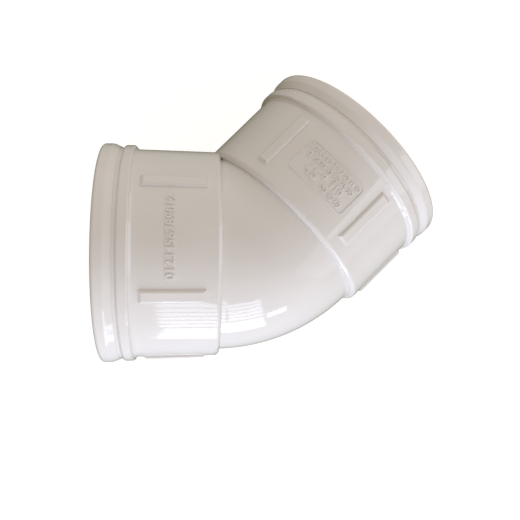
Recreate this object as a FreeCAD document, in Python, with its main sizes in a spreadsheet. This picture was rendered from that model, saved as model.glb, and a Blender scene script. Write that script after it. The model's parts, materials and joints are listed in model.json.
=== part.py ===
import FreeCAD, Part
import math
import os
import Sketcher

# A 45 degree push-fit elbow for 110 mm pipe. The bend is a stretch of pipe bent
# about a vertical axis. Each end carries the same socket: a wider cylinder with
# raised pads along it, a seal bead, and a thin spigot that a retaining cap slides
# over. A rubber lip seal lies in the chamber under the bead and the cap.
#
# Frame: both socket axes lie in the XY plane and +Z is up when the elbow lies on
# its side. The origin is on socket A's axis at its pipe stop, and the mouth of A
# faces -X. The axes cross at (stop_distance, 0, 0). Socket B leaves the crossing
# at bend_angle above +X, so the inner side of the bend is the +Y side.
#
# Distances along a socket are measured from the crossing, radii from its axis.

SIZES = {
    # bend
    "bend_angle": 45,
    "bend_radius": 56,
    "duct_outer_radius": 55,
    "duct_inner_radius": 51.8,
    # outside of a socket
    "step_distance": 20.7,
    "step_round": 2.8,
    "wall_start_radius": 58.6,
    "wall_end_distance": 66.2,
    "wall_end_radius": 59.2,
    "bead_start": 67.6,
    "bead_end": 73.9,
    "bead_radius": 61.5,
    "bead_round": 1.4,
    "bead_back": 74.8,
    "spigot_radius": 60.1,
    "spigot_end": 83.2,
    # inside of a socket
    "stop_distance": 25,
    "bore_radius": 55.25,
    "seat_start": 69,
    "seat_radius": 58.8,
    # raised pads
    "pad_start": 28.5,
    "pad_end": 63,
    "pad_ramp": 1.6,
    "pad_root_radius": 57.3,
    "pad_height": 1.5,
    "pad_width": 6.8,
    "pad_edge_round": 1.3,
    "pad_pitch_angle": 60,
    # retaining cap
    "cap_rear": 75.9,
    "cap_rear_radius": 60.5,
    "cap_slope_end": 79.4,
    "cap_slope_radius": 62,
    "cap_shoulder": 80.4,
    "cap_shoulder_round": 2.6,
    "cap_radius": 62.2,
    "cap_front": 86,
    "cap_front_round": 2,
    "cap_skirt_gap": 0.06,
    "cap_flange": 2.7,
    "cap_opening_radius": 55.9,
    "cap_lead_in": 1.4,
    # seal ring
    "seal_gap": 0.05,
    "seal_web": 1.2,
    "seal_heel": 2.2,
    "seal_heel_radius": 57,
    "seal_nose": 4.6,
    "seal_nose_radius": 56.1,
    "seal_nose_round": 1.2,
    "seal_lip_radius": 55,
    "seal_lip_tip": 72,
    "seal_lip_thickness": 1.1,
}

PAD_COUNT_EACH_WAY = 3

doc = FreeCAD.newDocument("elbow")
sheet = doc.addObject("Spreadsheet::Sheet", "sizes")
for row, (alias, value) in enumerate(SIZES.items(), start=1):
    sheet.set(f"A{row}", alias)
    sheet.set(f"B{row}", str(value))
    sheet.setAlias(f"B{row}", alias)
doc.recompute()


def sized(*names):
    """The sum of named sizes as (value, expression). A leading minus subtracts one."""
    value = 0.0
    expression = "0"
    for name in names:
        alias = name.lstrip("-")
        if name.startswith("-"):
            value -= SIZES[alias]
            expression += f" - sizes.{alias}"
        else:
            value += SIZES[alias]
            expression += f" + sizes.{alias}"
    return value, expression


def origin_plane(body, role):
    """One of the body's own origin planes."""
    return next(plane for plane in body.Origin.OriginFeatures if plane.Role == role)


def socket_sketch(body, name, socket):
    """A sketch in the bend plane: x runs out along a socket's axis, y to the outer side.

    Both sockets' frames are the world turned half round: A's about Z, and B's about
    the line that halves the bend angle.
    """
    sketch = body.newObject("Sketcher::SketchObject", name)
    sketch.AttachmentSupport = [(origin_plane(body, "XY_Plane"), "")]
    sketch.MapMode = "FlatFace"
    half = math.radians(SIZES["bend_angle"] / 2)
    halving = FreeCAD.Vector(math.cos(half), math.sin(half), 0)
    turn_axis = FreeCAD.Vector(0, 0, 1) if socket == "a" else halving
    crossing = FreeCAD.Vector(SIZES["stop_distance"], 0, 0)
    sketch.AttachmentOffset = FreeCAD.Placement(crossing, FreeCAD.Rotation(turn_axis, 180))
    sketch.setExpression("AttachmentOffset.Base.x", "sizes.stop_distance")
    if socket == "b":
        sketch.setExpression("AttachmentOffset.Rotation.Axis.x", "cos(sizes.bend_angle / 2)")
        sketch.setExpression("AttachmentOffset.Rotation.Axis.y", "sin(sizes.bend_angle / 2)")
    return sketch


def pin_point(sketch, edge, end, along, radius):
    """Fix one end of an edge at two named sizes."""
    for kind, (value, expression) in (("DistanceX", along), ("DistanceY", radius)):
        index = sketch.addConstraint(Sketcher.Constraint(kind, -1, 1, edge, end, value))
        sketch.setExpression(f"Constraints[{index}]", expression)


def rounded_edge(start, end, radius, side):
    """The short arc between two points. side is 1 where its centre lies left of the way along."""
    chord = end - start
    rise = math.sqrt(radius ** 2 - (chord.Length / 2) ** 2)
    left = FreeCAD.Vector(-chord.y, chord.x, 0).normalize()
    centre = (start + end) / 2 + left * rise * side
    first, last = (start, end) if side > 0 else (end, start)
    angles = [math.atan2(point.y - centre.y, point.x - centre.x) for point in (first, last)]
    return Part.ArcOfCircle(Part.Circle(centre, FreeCAD.Vector(0, 0, 1), radius), *angles)


def draw_outline(sketch, corners):
    """A closed outline. Each corner is (along, radius) and, where an arc leaves it, (size, side)."""
    points = [FreeCAD.Vector(corner[0][0], corner[1][0], 0) for corner in corners]
    ends = []
    for index, corner in enumerate(corners):
        start, end = points[index], points[(index + 1) % len(points)]
        if len(corner) == 2:
            edge = sketch.addGeometry(Part.LineSegment(start, end))
            ends.append((edge, 1, 2))
        else:
            (radius, expression), side = sized(corner[2][0]), corner[2][1]
            edge = sketch.addGeometry(rounded_edge(start, end, radius, side))
            ends.append((edge, 1, 2) if side > 0 else (edge, 2, 1))
            bound = sketch.addConstraint(Sketcher.Constraint("Radius", edge, radius))
            sketch.setExpression(f"Constraints[{bound}]", expression)
    for index, (edge, first, last) in enumerate(ends):
        following, following_first, _ = ends[(index + 1) % len(ends)]
        sketch.addConstraint(Sketcher.Constraint("Coincident", edge, last, following, following_first))
        pin_point(sketch, edge, first, *corners[index][:2])


def turned(body, kind, name, socket, corners):
    """Turn an outline once round a socket's axis, as added or removed material."""
    sketch = socket_sketch(body, f"{name}_outline", socket)
    draw_outline(sketch, corners)
    feature = body.newObject(kind, name)
    feature.Profile = sketch
    feature.ReferenceAxis = (sketch, ["H_Axis"])
    feature.Angle = 360
    return feature


def bent(body, kind, name, radius_name):
    """Sweep a circle round the bend, as added or removed material."""
    tangent_length = "sizes.bend_radius * tan(sizes.bend_angle / 2)"
    half = math.radians(SIZES["bend_angle"] / 2)
    bend_start = SIZES["stop_distance"] - SIZES["bend_radius"] * math.tan(half)
    sketch = body.newObject("Sketcher::SketchObject", f"{name}_circle")
    sketch.AttachmentSupport = [(origin_plane(body, "YZ_Plane"), "")]
    sketch.MapMode = "FlatFace"
    centre_of_bend = FreeCAD.Vector(SIZES["bend_radius"], 0, bend_start)
    sketch.AttachmentOffset = FreeCAD.Placement(centre_of_bend, FreeCAD.Rotation())
    sketch.setExpression("AttachmentOffset.Base.x", "sizes.bend_radius")
    sketch.setExpression("AttachmentOffset.Base.z", f"sizes.stop_distance - {tangent_length}")
    start = FreeCAD.Vector(-SIZES["bend_radius"], 0, 0)
    edge = sketch.addGeometry(Part.Circle(start, FreeCAD.Vector(0, 0, 1), SIZES[radius_name]))
    bound = sketch.addConstraint(Sketcher.Constraint("Radius", edge, SIZES[radius_name]))
    sketch.setExpression(f"Constraints[{bound}]", f"sizes.{radius_name}")
    sketch.addConstraint(Sketcher.Constraint("PointOnObject", edge, 3, -1))
    across = sketch.addConstraint(Sketcher.Constraint("DistanceX", edge, 3, -1, 1, SIZES["bend_radius"]))
    sketch.setExpression(f"Constraints[{across}]", "sizes.bend_radius")
    feature = body.newObject(kind, name)
    feature.Profile = sketch
    feature.ReferenceAxis = (sketch, ["V_Axis"])
    feature.Angle = SIZES["bend_angle"]
    feature.setExpression("Angle", "sizes.bend_angle")
    return feature


def pad_rims(shape, socket):
    """Names of the long edges along both sides of every pad top on one socket."""
    bend = math.radians(SIZES["bend_angle"])
    crossing = FreeCAD.Vector(SIZES["stop_distance"], 0, 0)
    axis = FreeCAD.Vector(-1, 0, 0) if socket == "a" else FreeCAD.Vector(math.cos(bend), math.sin(bend), 0)
    top_length = SIZES["pad_end"] - SIZES["pad_start"] - 2 * SIZES["pad_ramp"]
    names = []
    for number, edge in enumerate(shape.Edges, start=1):
        along = (edge.Vertexes[-1].Point - edge.Vertexes[0].Point) * axis
        middle = edge.CenterOfMass - crossing
        radius = (middle - axis * (middle * axis)).Length
        if abs(abs(along) - top_length) < 0.01 and radius > SIZES["wall_end_radius"]:
            names.append(f"Edge{number}")
    return names


def add_pads(body, socket):
    """Raised pads round a socket, sixty degrees apart. The inner side of the bend has none."""
    sketch = socket_sketch(body, f"pad_{socket}_outline", socket)
    draw_outline(sketch, [
        (sized("pad_start"), sized("pad_root_radius")),
        (sized("pad_end"), sized("pad_root_radius")),
        (sized("pad_end"), sized("wall_end_radius")),
        (sized("pad_end", "-pad_ramp"), sized("wall_end_radius", "pad_height")),
        (sized("pad_start", "pad_ramp"), sized("wall_start_radius", "pad_height")),
        (sized("pad_start"), sized("wall_start_radius")),
    ])
    pad = body.newObject("PartDesign::Pad", f"pad_{socket}")
    pad.Profile = sketch
    pad.Midplane = True
    pad.Length = SIZES["pad_width"]
    pad.setExpression("Length", "sizes.pad_width")
    doc.recompute()
    for backwards in (False, True):
        way = "back" if backwards else "front"
        pattern = body.newObject("PartDesign::PolarPattern", f"pads_{socket}_{way}")
        pattern.Originals = [pad]
        pattern.Axis = (sketch, ["H_Axis"])
        pattern.Reversed = backwards
        pattern.Angle = SIZES["pad_pitch_angle"] * (PAD_COUNT_EACH_WAY - 1)
        pattern.setExpression("Angle", f"sizes.pad_pitch_angle * {PAD_COUNT_EACH_WAY - 1}")
        pattern.Occurrences = PAD_COUNT_EACH_WAY
        body.Tip = pattern
        doc.recompute()
    sharp = body.Tip
    rounded = body.newObject("PartDesign::Fillet", f"pads_{socket}_rounded")
    rounded.Base = (sharp, pad_rims(sharp.Shape, socket))
    rounded.Radius = SIZES["pad_edge_round"]
    rounded.setExpression("Radius", "sizes.pad_edge_round")
    doc.recompute()


# ---- the moulded body ----

def make_elbow_body():
    body = doc.addObject("PartDesign::Body", "elbow_body")
    body.Label = "elbow_body"
    bent(body, "PartDesign::Revolution", "bend", "duct_outer_radius")
    doc.recompute()
    outside = [
        (sized("step_distance"), (0.0, "0")),
        (sized("step_distance"), sized("wall_start_radius", "-step_round"), ("step_round", -1)),
        (sized("step_distance", "step_round"), sized("wall_start_radius")),
        (sized("wall_end_distance"), sized("wall_end_radius")),
        (sized("bead_start"), sized("bead_radius", "-bead_round"), ("bead_round", -1)),
        (sized("bead_start", "bead_round"), sized("bead_radius")),
        (sized("bead_end", "-bead_round"), sized("bead_radius"), ("bead_round", -1)),
        (sized("bead_end"), sized("bead_radius", "-bead_round")),
        (sized("bead_back"), sized("spigot_radius")),
        (sized("spigot_end"), sized("spigot_radius")),
        (sized("spigot_end"), (0.0, "0")),
    ]
    for socket in ("a", "b"):
        turned(body, "PartDesign::Revolution", f"socket_{socket}", socket, outside)
        doc.recompute()
    for socket in ("a", "b"):
        add_pads(body, socket)
    bent(body, "PartDesign::Groove", "duct", "duct_inner_radius")
    doc.recompute()
    tangent = SIZES["bend_radius"] * math.tan(math.radians(SIZES["bend_angle"] / 2))
    bend_end = (tangent, "sizes.bend_radius * tan(sizes.bend_angle / 2)")
    inside = [
        (bend_end, (0.0, "0")),
        (bend_end, sized("duct_inner_radius")),
        (sized("stop_distance"), sized("duct_inner_radius")),
        (sized("stop_distance"), sized("bore_radius")),
        (sized("seat_start"), sized("bore_radius")),
        (sized("seat_start"), sized("seat_radius")),
        (sized("cap_front"), sized("seat_radius")),
        (sized("cap_front"), (0.0, "0")),
    ]
    for socket in ("a", "b"):
        turned(body, "PartDesign::Groove", f"bore_{socket}", socket, inside)
        doc.recompute()
    return body


# ---- the pieces at each mouth ----

def make_retaining_cap(socket):
    body = doc.addObject("PartDesign::Body", f"retaining_cap_{socket}")
    body.Label = f"retaining_cap_{socket}"
    turned(body, "PartDesign::Revolution", f"cap_{socket}", socket, [
        (sized("cap_rear"), sized("spigot_radius", "cap_skirt_gap")),
        (sized("cap_rear"), sized("cap_rear_radius")),
        (sized("cap_slope_end"), sized("cap_slope_radius"), ("cap_shoulder_round", -1)),
        (sized("cap_shoulder"), sized("cap_radius")),
        (sized("cap_front", "-cap_front_round"), sized("cap_radius"), ("cap_front_round", -1)),
        (sized("cap_front"), sized("cap_radius", "-cap_front_round")),
        (sized("cap_front"), sized("cap_opening_radius", "cap_lead_in")),
        (sized("cap_front", "-cap_lead_in"), sized("cap_opening_radius")),
        (sized("cap_front", "-cap_flange"), sized("cap_opening_radius")),
        (sized("cap_front", "-cap_flange"), sized("spigot_radius", "cap_skirt_gap")),
    ])
    return body


def make_seal_ring(socket):
    body = doc.addObject("PartDesign::Body", f"seal_ring_{socket}")
    body.Label = f"seal_ring_{socket}"
    turned(body, "PartDesign::Revolution", f"seal_{socket}", socket, [
        (sized("seat_start", "seal_gap"), sized("seat_radius", "-seal_gap")),
        (sized("spigot_end"), sized("seat_radius", "-seal_gap")),
        (sized("spigot_end"), sized("seal_nose_radius", "seal_nose_round"), ("seal_nose_round", -1)),
        (sized("spigot_end", "-seal_nose_round"), sized("seal_nose_radius")),
        (sized("seal_lip_tip"), sized("seal_lip_radius")),
        (sized("seal_lip_tip"), sized("seal_lip_radius", "seal_lip_thickness")),
        (sized("spigot_end", "-seal_nose"), sized("seat_radius", "-seal_web")),
        (sized("seat_start", "seal_heel"), sized("seat_radius", "-seal_web")),
        (sized("seat_start", "seal_heel"), sized("seal_heel_radius")),
        (sized("seat_start", "seal_gap"), sized("seal_heel_radius")),
    ])
    return body


pieces = [make_elbow_body()]
for mouth in ("a", "b"):
    pieces.append(make_retaining_cap(mouth))
    pieces.append(make_seal_ring(mouth))
doc.recompute()

for item in doc.Objects:
    if "Invalid" in item.State or "Error" in item.State:
        raise RuntimeError(f"{item.Name} failed: {item.State}")

os.makedirs("parts", exist_ok=True)
for piece in pieces:
    if piece.Shape.isNull() or not piece.Shape.isValid():
        raise RuntimeError(f"{piece.Label} has no valid shape")
    piece.Shape.exportStep(f"parts/{piece.Label}.step")
    print(piece.Label, f"{piece.Shape.Volume / 1000:.1f} cm3", len(piece.Shape.Solids), "solid")
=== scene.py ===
"""A white PVC push-fit elbow, nominal 110 mm and 45 degrees, lying on a pale floor under a window."""

import json
import math

import bmesh
import bpy
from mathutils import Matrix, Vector
from mathutils.bvhtree import BVHTree
from mathutils.geometry import intersect_line_line


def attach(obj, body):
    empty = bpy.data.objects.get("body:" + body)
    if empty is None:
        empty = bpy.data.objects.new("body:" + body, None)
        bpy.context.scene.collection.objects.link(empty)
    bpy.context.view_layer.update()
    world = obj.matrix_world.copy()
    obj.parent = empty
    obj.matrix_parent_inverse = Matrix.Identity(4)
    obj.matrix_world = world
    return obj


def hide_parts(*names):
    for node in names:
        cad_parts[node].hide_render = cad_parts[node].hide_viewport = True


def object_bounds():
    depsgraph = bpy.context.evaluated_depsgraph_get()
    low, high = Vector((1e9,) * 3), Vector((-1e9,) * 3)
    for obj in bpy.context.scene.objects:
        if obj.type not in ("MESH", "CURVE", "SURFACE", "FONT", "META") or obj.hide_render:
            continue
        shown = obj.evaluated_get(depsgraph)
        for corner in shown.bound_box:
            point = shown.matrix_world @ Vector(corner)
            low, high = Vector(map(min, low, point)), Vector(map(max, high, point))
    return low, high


MM = 0.001
UP = Vector((0.0, 0.0, 1.0))

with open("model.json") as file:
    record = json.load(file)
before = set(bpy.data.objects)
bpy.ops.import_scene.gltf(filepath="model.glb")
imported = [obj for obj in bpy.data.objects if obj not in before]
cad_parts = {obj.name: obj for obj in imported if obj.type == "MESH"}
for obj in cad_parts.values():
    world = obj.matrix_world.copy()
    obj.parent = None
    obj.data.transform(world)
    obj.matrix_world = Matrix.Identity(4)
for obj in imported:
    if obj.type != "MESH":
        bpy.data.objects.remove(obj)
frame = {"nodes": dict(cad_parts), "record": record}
cad_box = [list(corner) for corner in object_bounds()]
nodes = frame["nodes"]


# ---------------------------------------------------------------- the object's own frame

class Socket:
    """One end of the elbow: its axis runs from the crossing of both axes out through the mouth."""

    def __init__(self, mount, crossing):
        self.crossing = crossing
        self.along = Vector(mount["axis"]).normalized()
        self.across = self.along.cross(UP)

    def outward(self, turn):
        """The direction away from the axis, turned from straight up towards the across side."""
        return UP * math.cos(turn) + self.across * math.sin(turn)

    def point(self, distance, turn, radius):
        return self.crossing + self.along * distance + self.outward(turn) * radius

    def reach(self, node):
        """Nearest and farthest distance along the axis, then smallest and largest radius, of a node."""
        distances, radii = [], []
        for vertex in nodes[node].data.vertices:
            offset = vertex.co - self.crossing
            distance = offset.dot(self.along)
            distances.append(distance)
            radii.append((offset - self.along * distance).length)
        return min(distances), max(distances), min(radii), max(radii)


def read_sockets():
    mounts = {mount["name"]: mount for mount in frame["record"]["mounts"]}
    ends = [mounts["socket_a"], mounts["socket_b"]]
    lines = []
    for end in ends:
        start = Vector(end["pos_m"])
        lines += [start, start + Vector(end["axis"])]
    crossing = intersect_line_line(*lines)[0]
    return [Socket(end, crossing) for end in ends]


socket_a, socket_b = read_sockets()
skin = BVHTree.FromObject(nodes["elbow_body"], bpy.context.evaluated_depsgraph_get())
SKIN_CLEARANCE = 90 * MM


def skin_radius(middle, outward):
    """How far the body's outer surface is from a point inside it, along a direction."""
    hit = skin.ray_cast(middle + outward * SKIN_CLEARANCE, -outward)[0]
    return (hit - middle).length


# ---------------------------------------------------------------- materials

def node_material(name):
    material = bpy.data.materials.new(name)
    material.use_nodes = True
    tree = material.node_tree
    return material, tree, tree.nodes["Principled BSDF"]


def noise(tree, scale, detail, stretch=(1.0, 1.0, 1.0), distortion=0.0):
    """Noise over the object's own coordinates, in features per metre."""
    where = tree.nodes.new("ShaderNodeTexCoord")
    mapping = tree.nodes.new("ShaderNodeMapping")
    mapping.inputs["Scale"].default_value = stretch
    pattern = tree.nodes.new("ShaderNodeTexNoise")
    pattern.inputs["Scale"].default_value = scale
    pattern.inputs["Detail"].default_value = detail
    pattern.inputs["Distortion"].default_value = distortion
    tree.links.new(where.outputs["Object"], mapping.inputs["Vector"])
    tree.links.new(mapping.outputs["Vector"], pattern.inputs["Vector"])
    return pattern.outputs["Fac"]


def remap(tree, value, low, high, to_low, to_high):
    spread = tree.nodes.new("ShaderNodeMapRange")
    spread.inputs["From Min"].default_value = low
    spread.inputs["From Max"].default_value = high
    spread.inputs["To Min"].default_value = to_low
    spread.inputs["To Max"].default_value = to_high
    tree.links.new(value, spread.inputs["Value"])
    return spread.outputs["Result"]


def add(tree, first, second):
    total = tree.nodes.new("ShaderNodeMath")
    total.operation = "ADD"
    tree.links.new(first, total.inputs[0])
    tree.links.new(second, total.inputs[1])
    return total.outputs[0]


def blend_colours(tree, factor, first, second):
    mix = tree.nodes.new("ShaderNodeMix")
    mix.data_type = "RGBA"
    mix.inputs[6].default_value = (*first, 1.0)
    mix.inputs[7].default_value = (*second, 1.0)
    tree.links.new(factor, mix.inputs[0])
    return mix.outputs[2]


def bump(tree, height, depth, under=None):
    relief = tree.nodes.new("ShaderNodeBump")
    relief.inputs["Distance"].default_value = depth
    tree.links.new(height, relief.inputs["Height"])
    if under is not None:
        tree.links.new(under, relief.inputs["Normal"])
    return relief.outputs["Normal"]


def pvc(name, tone=1.0, polish=0.045):
    """Glossy injection-moulded PVC: flow clouding, fine handling scuffs and a faint ripple."""
    material, tree, surface = node_material(name)
    clouding = remap(tree, noise(tree, 26.0, 3.0, distortion=0.6), 0.35, 0.65, 0.0, 1.0)
    light = (0.815 * tone, 0.808 * tone, 0.795 * tone)
    dim = (0.790 * tone, 0.781 * tone, 0.764 * tone)
    tree.links.new(blend_colours(tree, clouding, light, dim), surface.inputs["Base Color"])
    patches = remap(tree, noise(tree, 70.0, 4.0), 0.3, 0.7, polish - 0.01, polish + 0.03)
    scuffs = remap(tree, noise(tree, 300.0, 6.0, (1.0, 0.12, 1.0), 1.5), 0.64, 0.82, 0.0, 0.16)
    tree.links.new(add(tree, patches, scuffs), surface.inputs["Roughness"])
    surface.inputs["IOR"].default_value = 1.53
    ripple = bump(tree, noise(tree, 170.0, 1.0), 0.003 * MM)
    grain = bump(tree, noise(tree, 2600.0, 2.0), 0.0012 * MM, ripple)
    tree.links.new(grain, surface.inputs["Normal"])
    return material


def rubber(name):
    """Black EPDM: fine grain from the mould, with a thin greyish bloom in places."""
    material, tree, surface = node_material(name)
    bloom = remap(tree, noise(tree, 90.0, 5.0, distortion=1.0), 0.45, 0.75, 0.0, 1.0)
    colour = blend_colours(tree, bloom, (0.012, 0.012, 0.013), (0.034, 0.034, 0.036))
    tree.links.new(colour, surface.inputs["Base Color"])
    tree.links.new(remap(tree, bloom, 0.0, 1.0, 0.38, 0.60), surface.inputs["Roughness"])
    surface.inputs["IOR"].default_value = 1.52
    tree.links.new(bump(tree, noise(tree, 1900.0, 4.0), 0.02 * MM), surface.inputs["Normal"])
    return material


body_pvc = pvc("white_pvc_body")
cap_pvc = pvc("white_pvc_cap", tone=1.01, polish=0.12)
seal_rubber = rubber("black_rubber")


def finish_node(node, material):
    materials = nodes[node].data.materials
    materials.clear()
    materials.append(material)


finish_node("elbow_body", body_pvc)
for end in ("a", "b"):
    finish_node(f"retaining_cap_{end}", cap_pvc)
    finish_node(f"seal_ring_{end}", seal_rubber)


# ---------------------------------------------------------------- mesh pieces

SHARP_ANGLE = math.radians(35)


def add_piece(name, mesh, material, body):
    """A finished mesh becomes a piece that moves with a CAD body."""
    for polygon in mesh.polygons:
        polygon.use_smooth = True
    mesh.set_sharp_from_angle(angle=SHARP_ANGLE)
    mesh.materials.clear()
    mesh.materials.append(material)
    piece = bpy.data.objects.new(name, mesh)
    bpy.context.scene.collection.objects.link(piece)
    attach(piece, body)
    return piece


def rounded_outline(corners, steps=6):
    """A closed outline from (x, y, radius) corners, each rounded by an arc of its own radius."""
    outline = []
    for index, (x, y, radius) in enumerate(corners):
        corner = Vector((x, y))
        before = Vector(corners[index - 1][:2]) - corner
        after = Vector(corners[(index + 1) % len(corners)][:2]) - corner
        before.normalize()
        after.normalize()
        half = before.angle(after) / 2
        centre = corner + (before + after).normalized() * (radius / math.sin(half))
        start = corner + before * (radius / math.tan(half)) - centre
        finish = corner + after * (radius / math.tan(half)) - centre
        sweep = start.angle_signed(finish)
        for step in range(steps + 1):
            angle = math.atan2(start.y, start.x) - sweep * step / steps
            outline.append(centre + Vector((math.cos(angle), math.sin(angle))) * radius)
    return outline


RING_STEPS = 192


def ring_mesh(name, outline, socket):
    """A closed (distance, radius) outline turned about a socket's axis."""
    build = bmesh.new()
    rings = []
    for step in range(RING_STEPS):
        turn = 2 * math.pi * step / RING_STEPS
        rings.append([build.verts.new(socket.point(p.x, turn, p.y)) for p in outline])
    for step, ring in enumerate(rings):
        following = rings[(step + 1) % RING_STEPS]
        for index in range(len(ring)):
            next_index = (index + 1) % len(ring)
            build.faces.new((ring[index], ring[next_index], following[next_index], following[index]))
    bmesh.ops.recalc_face_normals(build, faces=build.faces)
    mesh = bpy.data.meshes.new(name)
    build.to_mesh(mesh)
    build.free()
    return mesh


# The seal's section: depths are inwards from its outer surface, and reaches are from its heel.
SEAL_WEB_DEPTH = 1.2 * MM
SEAL_HEEL_DEPTH = 1.8 * MM
SEAL_HEEL_LENGTH = 2.2 * MM
SEAL_NOSE_DEPTH = 2.9 * MM
SEAL_NOSE_LENGTH = 4.6 * MM
SEAL_LIP_DEPTH = 5.3 * MM
SEAL_LIP_REACH = 3.4 * MM
SEAL_LIP_THICKNESS = 1.1 * MM
SEAL_LIP_SKEW = 0.25 * MM


def relaxed_seal(end, socket):
    """The seal as it sits with no pipe in it: its lip leans inwards, past the pipe's radius."""
    heel, nose, _, outside = socket.reach(f"seal_ring_{end}")
    heel_end = heel + SEAL_HEEL_LENGTH
    heel_inside = outside - SEAL_HEEL_DEPTH
    web_inside = outside - SEAL_WEB_DEPTH
    lip_tip = heel + SEAL_LIP_REACH
    lip_inside = outside - SEAL_LIP_DEPTH
    corners = [
        (heel, outside, 0.3 * MM),
        (nose, outside, 0.3 * MM),
        (nose, outside - SEAL_NOSE_DEPTH, 1.2 * MM),
        (lip_tip, lip_inside, 0.42 * MM),
        (lip_tip + SEAL_LIP_SKEW, lip_inside + SEAL_LIP_THICKNESS, 0.35 * MM),
        (nose - SEAL_NOSE_LENGTH, web_inside, 1.0 * MM),
        (heel_end, web_inside, 0.4 * MM),
        (heel_end, heel_inside, 0.2 * MM),
        (heel, heel_inside, 0.25 * MM),
    ]
    mesh = ring_mesh(f"seal_lip_{end}", rounded_outline(corners), socket)
    piece = add_piece(f"seal_lip_{end}", mesh, seal_rubber, "elbow")
    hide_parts(f"seal_ring_{end}")


relaxed_seal("a", socket_a)
relaxed_seal("b", socket_b)


# ---------------------------------------------------------------- moulded marks

RELIEF = 0.6 * MM
SUNK = 0.25 * MM
CAPITAL_SHARE = 0.69
STROKE_SPREAD = 0.018
STROKE_GROWTH = 0.06 * MM
STROKE_ROUND = 0.1 * MM


def wrap(mesh, socket, distance, turn):
    """Lays a flat mesh on the socket wall: x goes round the socket, y out along it, z off the wall."""
    for vertex in mesh.vertices:
        along = distance + vertex.co.y
        middle = socket.crossing + socket.along * along
        centre_radius = skin_radius(middle, socket.outward(turn))
        vertex_turn = turn + vertex.co.x / centre_radius
        radius = skin_radius(middle, socket.outward(vertex_turn)) + vertex.co.z
        vertex.co = socket.point(along, vertex_turn, radius)
    mesh.update()


def number_mesh(text, height):
    """Raised characters of a given height, standing on z = 0 with their roots sunk below it."""
    curve = bpy.data.curves.new("characters", "FONT")
    curve.body = text
    curve.size = height / CAPITAL_SHARE
    curve.align_x = "CENTER"
    curve.align_y = "CENTER"
    curve.resolution_u = 6
    curve.bevel_depth = STROKE_ROUND
    curve.bevel_resolution = 2
    curve.offset = STROKE_SPREAD * height + STROKE_GROWTH - STROKE_ROUND
    curve.extrude = (RELIEF + SUNK) / 2 - curve.bevel_depth
    holder = bpy.data.objects.new("characters", curve)
    mesh = bpy.data.meshes.new_from_object(holder)
    bpy.data.objects.remove(holder)
    bpy.data.curves.remove(curve)
    for vertex in mesh.vertices:
        vertex.co.z += (RELIEF - SUNK) / 2
    return mesh


def add_number(name, text, height, socket, distance, turn):
    mesh = number_mesh(text, height)
    wrap(mesh, socket, distance, turn)
    add_piece(name, mesh, body_pvc, "elbow")


def ridge_mesh(name, stations, half_width, height, closed):
    """A low ridge with bevelled shoulders, through stations of (point, sideways, off the wall)."""
    section = [(-1.0, -SUNK), (-1.0, 0.5 * height), (-0.55, height), (0.55, height), (1.0, 0.5 * height),
               (1.0, -SUNK)]
    build = bmesh.new()
    rows = [[build.verts.new(point + side * across * half_width + off * lift) for across, lift in section]
            for point, side, off in stations]
    for first, second in zip(rows, rows[1:] + rows[:1] if closed else rows[1:]):
        for corner in range(len(section)):
            other = (corner + 1) % len(section)
            build.faces.new((first[corner], first[other], second[other], second[corner]))
    if not closed:
        build.faces.new(rows[0])
        build.faces.new(reversed(rows[-1]))
    bmesh.ops.recalc_face_normals(build, faces=build.faces)
    mesh = bpy.data.meshes.new(name)
    build.to_mesh(mesh)
    build.free()
    return mesh


# A row of digits round socket A: 0 to 9, then on from 0.
DIAL_DISTANCE = 46.9 * MM
DIAL_HEIGHT = 4.6 * MM
DIAL_MARKS = 13
DIAL_STEP = math.radians(3.35)
for mark in range(DIAL_MARKS):
    turn = (mark - (DIAL_MARKS - 1) / 2) * DIAL_STEP
    add_number(f"dial_{mark}", str(mark % 10), DIAL_HEIGHT, socket_a, DIAL_DISTANCE, turn)

# A framed panel of size marks on socket B.
PANEL_DISTANCE = 45.6 * MM
PANEL_WIDTH = 38.0 * MM
PANEL_TURN = math.radians(0.6)
PANEL_DEPTH = 19.7 * MM
PANEL_CORNER = 2.2 * MM
PANEL_LINE = 0.32 * MM
PANEL_STEP = 0.8 * MM


def panel_stations():
    """Points along the panel's rounded frame, close enough together to follow the wall."""
    half_width, half_depth = PANEL_WIDTH / 2, PANEL_DEPTH / 2
    corners = [(-half_width, -half_depth, PANEL_CORNER), (half_width, -half_depth, PANEL_CORNER),
               (half_width, half_depth, PANEL_CORNER), (-half_width, half_depth, PANEL_CORNER)]
    outline = rounded_outline(corners)
    path = []
    for index, point in enumerate(outline):
        following = outline[(index + 1) % len(outline)]
        pieces = max(1, round((following - point).length / PANEL_STEP))
        path += [point.lerp(following, piece / pieces).to_3d() for piece in range(pieces)]
    return [(point, (path[(index + 1) % len(path)] - path[index - 1]).normalized().cross(UP), UP)
            for index, point in enumerate(path)]


panel_frame = ridge_mesh("panel_frame", panel_stations(), PANEL_LINE, 0.8 * RELIEF, closed=True)
wrap(panel_frame, socket_b, PANEL_DISTANCE, PANEL_TURN)
add_piece("panel_frame", panel_frame, body_pvc, "elbow")

# Each row of marks: its text, character height, and place across and along the panel, in mm.
PANEL_NUMBERS = [
    ("months", "1 2 3 4 5 6 7 8 9 10 11 12", 2.3, 0.0, 6.6),
    ("angles", "0 15 30 45 60 75 90", 2.7, 0.0, 2.4),
    ("angle", "45°", 6.2, -5.5, -4.2),
    ("size", "110", 3.8, 7.6, -2.0),
    ("depths", "20 40 60", 2.8, 8.2, -6.8),
]
panel_radius = skin_radius(socket_b.crossing + socket_b.along * PANEL_DISTANCE, UP)
for name, text, height, across, along in PANEL_NUMBERS:
    add_number(f"panel_{name}", text, height * MM, socket_b, PANEL_DISTANCE + along * MM,
               PANEL_TURN + across * MM / panel_radius)

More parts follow.
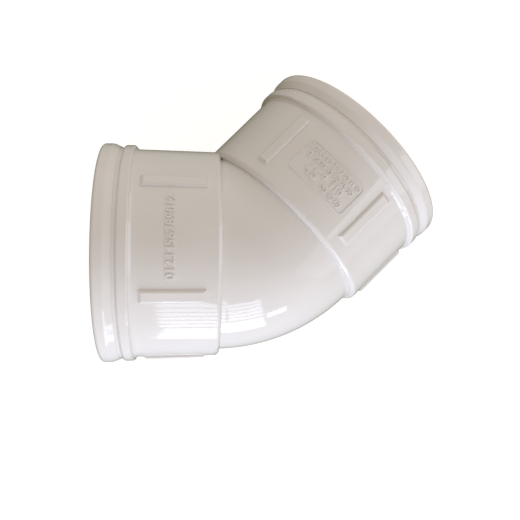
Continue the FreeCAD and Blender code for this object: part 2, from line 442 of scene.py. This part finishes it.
# The mould's parting line, level with both axes: right along the outer side of the bend, and
# along each socket on the inner side as far as the crotch leaves the wall open.
PARTING_END = 66.0 * MM
PARTING_CROTCH = 27.0 * MM
PARTING_STEP = 0.6 * MM
PARTING_LINE = 0.20 * MM
PARTING_HEIGHT = 0.09 * MM


def parting_stations(rays):
    """Where each (middle, outward) ray leaves the body, with the line's sideways and off-wall ways."""
    return [(middle + outward * skin_radius(middle, outward), UP, outward) for middle, outward in rays]


def parting_rays(socket, outward, nearest):
    count = round((PARTING_END - nearest) / PARTING_STEP)
    distances = [PARTING_END + (nearest - PARTING_END) * step / count for step in range(count + 1)]
    return [(socket.crossing + socket.along * distance, outward) for distance in distances]


def add_parting_line():
    outer_a, outer_b = -socket_a.across, socket_b.across
    turns = 60
    corner = [(socket_a.crossing, outer_a.slerp(outer_b, turn / turns)) for turn in range(1, turns)]
    outer = parting_rays(socket_a, outer_a, 0.0) + corner + parting_rays(socket_b, outer_b, 0.0)[::-1]
    runs = {"outer": outer,
            "inner_a": parting_rays(socket_a, -outer_a, PARTING_CROTCH),
            "inner_b": parting_rays(socket_b, -outer_b, PARTING_CROTCH)}
    for side, rays in runs.items():
        mesh = ridge_mesh(f"parting_line_{side}", parting_stations(rays), PARTING_LINE, PARTING_HEIGHT,
                          closed=False)
        add_piece(f"parting_line_{side}", mesh, body_pvc, "elbow")


add_parting_line()


# ---------------------------------------------------------------- floor, light and camera

FLOOR_RADIUS = 4.0
FLOOR_TONE = 0.45
FLOOR_GLOW = 0.80


def add_floor():
    """A plain white floor. It shows to the camera and takes shadows, but throws no light back."""
    build = bmesh.new()
    bmesh.ops.create_circle(build, cap_ends=True, segments=96, radius=FLOOR_RADIUS)
    mesh = bpy.data.meshes.new("floor")
    build.to_mesh(mesh)
    build.free()
    floor = bpy.data.objects.new("floor", mesh)
    bpy.context.scene.collection.objects.link(floor)
    floor.location.z = cad_box[0][2]
    floor.visible_glossy = False
    floor.visible_diffuse = False
    floor.visible_shadow = False
    material, tree, surface = node_material("floor_white")
    surface.inputs["Base Color"].default_value = (FLOOR_TONE, FLOOR_TONE, FLOOR_TONE, 1.0)
    surface.inputs["Roughness"].default_value = 0.9
    surface.inputs["Specular IOR Level"].default_value = 0.0
    surface.inputs["Emission Color"].default_value = (1.0, 1.0, 1.0, 1.0)
    surface.inputs["Emission Strength"].default_value = FLOOR_GLOW
    mesh.materials.append(material)


LIGHT_DISTANCE = 3.0
DAYLIGHT = (0.88, 0.96, 1.14)

# The window's louvred part, left and right of its mullion: azimuths, and how many slats show.
LOUVRES = [("left", (-2.1, 6.0), 6), ("right", (7.0, 21.5), 5)]
SLAT_BOTTOM = -4.4
SLAT_PITCH = 5.1
SLAT_GLASS = 0.76
SLAT_RADIANCE = 4.5
SLAT_FADE = 0.2

# Plain panes: name, azimuths, elevations and radiance. The room's own light already holds what
# the far ones shed, so they only glint on the edges.
NEAR_PANES = [
    ("lower_pane", (-1.8, 21.5), (-24.5, -6.4), 4.6),
    ("side_pane", (23.0, 31.5), (-10.5, -2.8), 4.2),
]
FAR_PANES = [
    ("far_window", (70.0, 110.0), (3.0, 46.0), 1.5),
    ("far_curtain", (48.0, 134.0), (3.0, 46.0), 0.7),
]


def direction(azimuth, elevation):
    """Azimuth in degrees from -Y towards +X, elevation in degrees above the horizon."""
    azimuth, elevation = math.radians(azimuth), math.radians(elevation)
    flat = math.cos(elevation)
    return Vector((flat * math.sin(azimuth), -flat * math.cos(azimuth), math.sin(elevation)))


def add_window(name, azimuths, elevations, radiance):
    """A glowing pane that fills a range of directions as seen from the object."""
    middle = direction(sum(azimuths) / 2, sum(elevations) / 2)
    width = 2 * LIGHT_DISTANCE * math.tan(math.radians(azimuths[1] - azimuths[0]) / 2)
    height = 2 * LIGHT_DISTANCE * math.tan(math.radians(elevations[1] - elevations[0]) / 2)
    lamp = bpy.data.lights.new(name, "AREA")
    lamp.shape = "RECTANGLE"
    lamp.size = width
    lamp.size_y = height
    lamp.energy = radiance * math.pi * width * height
    lamp.color = DAYLIGHT
    holder = bpy.data.objects.new(name, lamp)
    holder.location = middle * LIGHT_DISTANCE
    holder.rotation_euler = middle.to_track_quat("Z", "Y").to_euler()
    holder.visible_camera = False
    bpy.context.scene.collection.objects.link(holder)
    return holder


def add_windows():
    """A tall window, louvred above and plain below; a narrow pane beside it; and a far window."""
    for side, azimuths, slats in LOUVRES:
        for slat in range(slats):
            low = SLAT_BOTTOM + slat * SLAT_PITCH
            heights = (low, low + SLAT_GLASS * SLAT_PITCH)
            add_window(f"slat_{slat}_{side}", azimuths, heights, SLAT_RADIANCE - SLAT_FADE * slat)
    for pane in NEAR_PANES:
        add_window(*pane)
    for pane in FAR_PANES:
        glint = add_window(*pane)
        glint.visible_diffuse = False


ROOM_LIGHT = (0.465, 0.395, 0.30)
# What each side of the room adds to that: towards where, the cosines at which it starts and is
# full, and its colour. The dark ones are a doorway, the table top, and the foot and the corner of
# the back wall.
ROOM_SIDES = [
    ((0.0, 1.0, 0.0), 0.0, 1.0, (0.61, 0.625, 0.69)),
    ((0.0, -1.0, 0.0), 0.0, 1.0, (0.63, 0.665, 0.82)),
    ((-1.0, 0.0, 0.0), 0.0, 1.0, (-0.27, -0.27, -0.27)),
    ((0.0, 0.0, -1.0), 0.1, 0.9, (-0.28, -0.21, -0.21)),
    ((0.0, 0.77, -0.64), 0.5, 1.0, (-0.40, -0.40, -0.40)),
    ((-0.71, 0.71, 0.0), 0.4, 1.0, (-0.13, -0.12, -0.12)),
]


def add_world():
    """The light of a room, which shows as plain white behind the floor."""
    world = bpy.data.worlds.new("room")
    bpy.context.scene.world = world
    world.use_nodes = True
    tree = world.node_tree
    where = tree.nodes.new("ShaderNodeTexCoord")
    light = None
    for toward, start, full, colour in ROOM_SIDES:
        facing = tree.nodes.new("ShaderNodeVectorMath")
        facing.operation = "DOT_PRODUCT"
        facing.inputs[1].default_value = toward
        tree.links.new(where.outputs["Generated"], facing.inputs[0])
        share = remap(tree, facing.outputs["Value"], start, full, 0.0, 1.0)
        share.node.interpolation_type = "SMOOTHSTEP"
        total = tree.nodes.new("ShaderNodeVectorMath")
        total.operation = "MULTIPLY_ADD"
        total.inputs[0].default_value = colour
        total.inputs[2].default_value = ROOM_LIGHT
        tree.links.new(share, total.inputs[1])
        if light is not None:
            tree.links.new(light, total.inputs[2])
        light = total.outputs[0]
    rays = tree.nodes.new("ShaderNodeLightPath")
    seen = tree.nodes.new("ShaderNodeMix")
    seen.data_type = "RGBA"
    seen.inputs[7].default_value = (1.0, 1.0, 1.0, 1.0)
    tree.links.new(rays.outputs["Is Camera Ray"], seen.inputs[0])
    tree.links.new(light, seen.inputs[6])
    tree.links.new(seen.outputs[2], tree.nodes["Background"].inputs["Color"])


CAMERA_TARGET = socket_a.crossing + Vector((3.46, -3.45, 0.0)) * MM
CAMERA_DISTANCE = 395.3 * MM
CAMERA_TILT = (8.13, -5.63, 0.48)
CAMERA_LENS = 46.56


def add_camera():
    data = bpy.data.cameras.new("camera")
    data.lens = CAMERA_LENS
    camera = bpy.data.objects.new("camera", data)
    camera.rotation_mode = "ZYX"
    camera.rotation_euler = [math.radians(angle) for angle in CAMERA_TILT]
    back = camera.rotation_euler.to_matrix() @ UP
    camera.location = CAMERA_TARGET + back * CAMERA_DISTANCE
    bpy.context.scene.collection.objects.link(camera)
    bpy.context.scene.camera = camera


add_floor()
add_windows()
add_world()
add_camera()
bpy.context.scene.view_settings.view_transform = "Standard"
